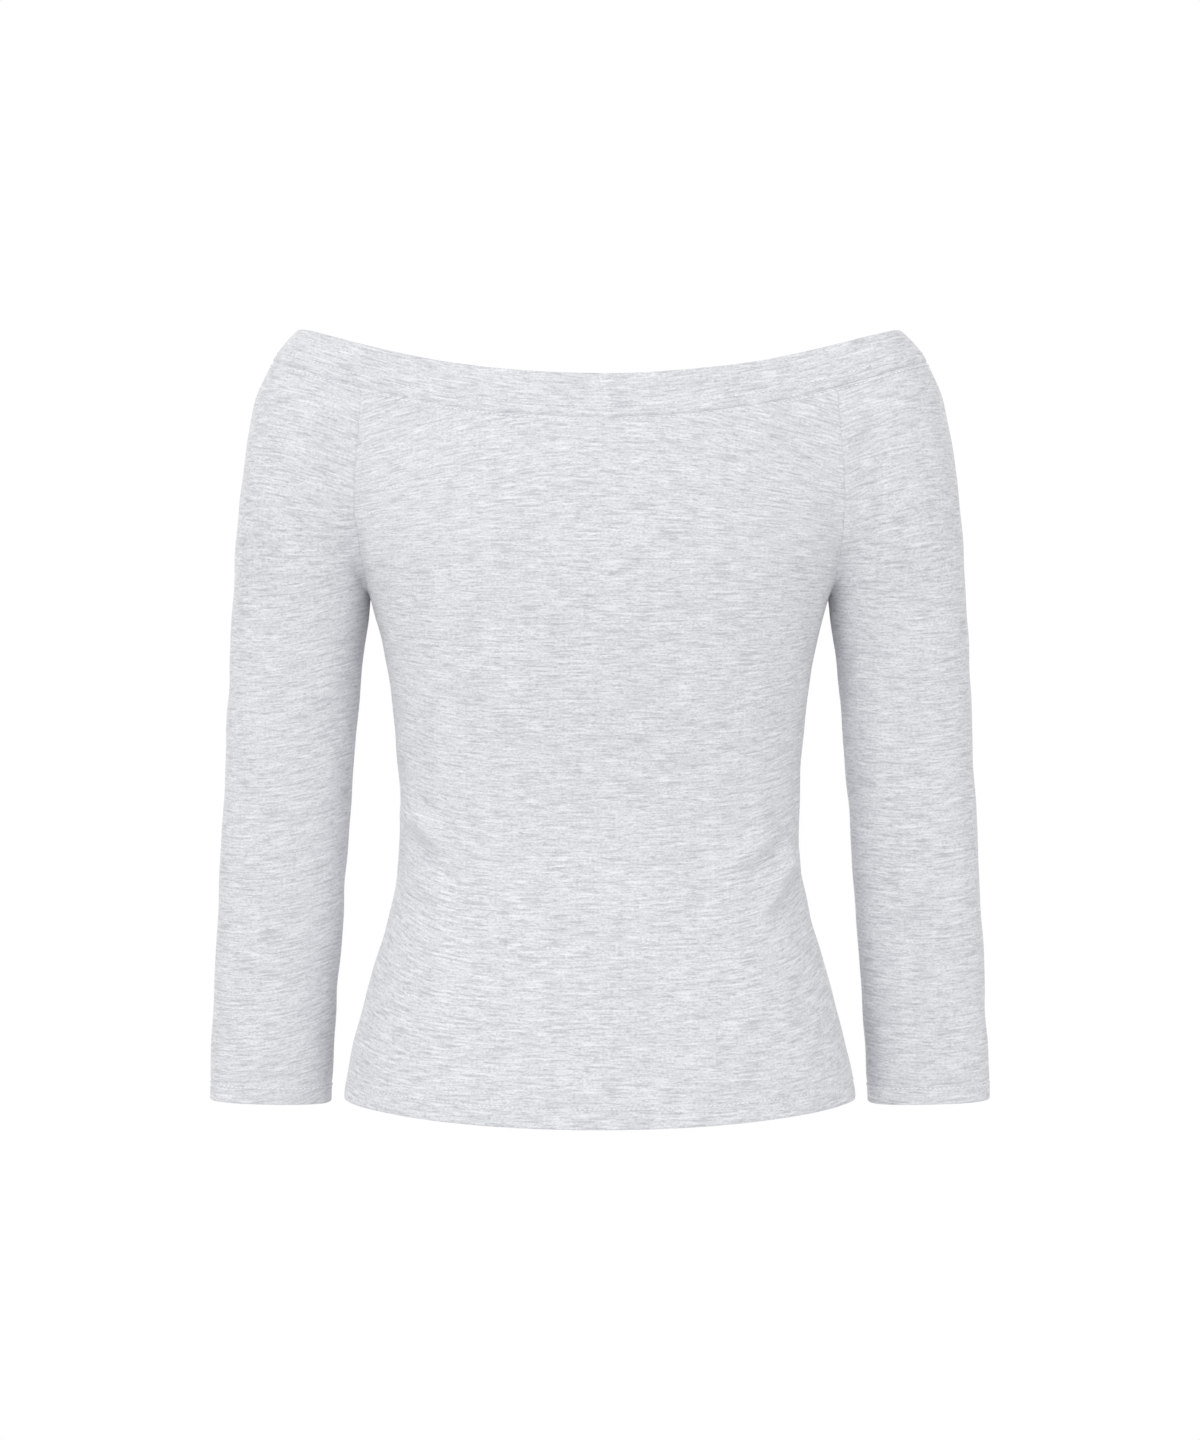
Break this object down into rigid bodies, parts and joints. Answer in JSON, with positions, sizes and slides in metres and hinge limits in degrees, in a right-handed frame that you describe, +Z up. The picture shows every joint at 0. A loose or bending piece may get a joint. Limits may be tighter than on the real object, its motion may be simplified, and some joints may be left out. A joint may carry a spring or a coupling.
{
  "type": "off-shoulder top",
  "caption": "Fitted off-shoulder jersey top with long narrow sleeves, a folded neckband and a flared hip hem, in its worn hollow form.",
  "frame": {"origin": "midway between the shoulders, level with the highest points of the neckband at the arms", "axes": "+X towards the wearer's right arm, +Y towards the wearer's front, +Z up; the picture shows the -Y side"},
  "size_m": [0.4928, 0.2298, 0.4862],
  "materials": {
    "jersey": "pale grey melange single jersey, matt",
    "band_jersey": "pale grey melange jersey folded double, matt"
  },
  "bodies": {
    "root": {"back_panel": "jersey", "front_panel": "jersey", "left_sleeve": "jersey", "right_sleeve": "jersey", "neckband": "band_jersey"}
  },
  "joints": []
}
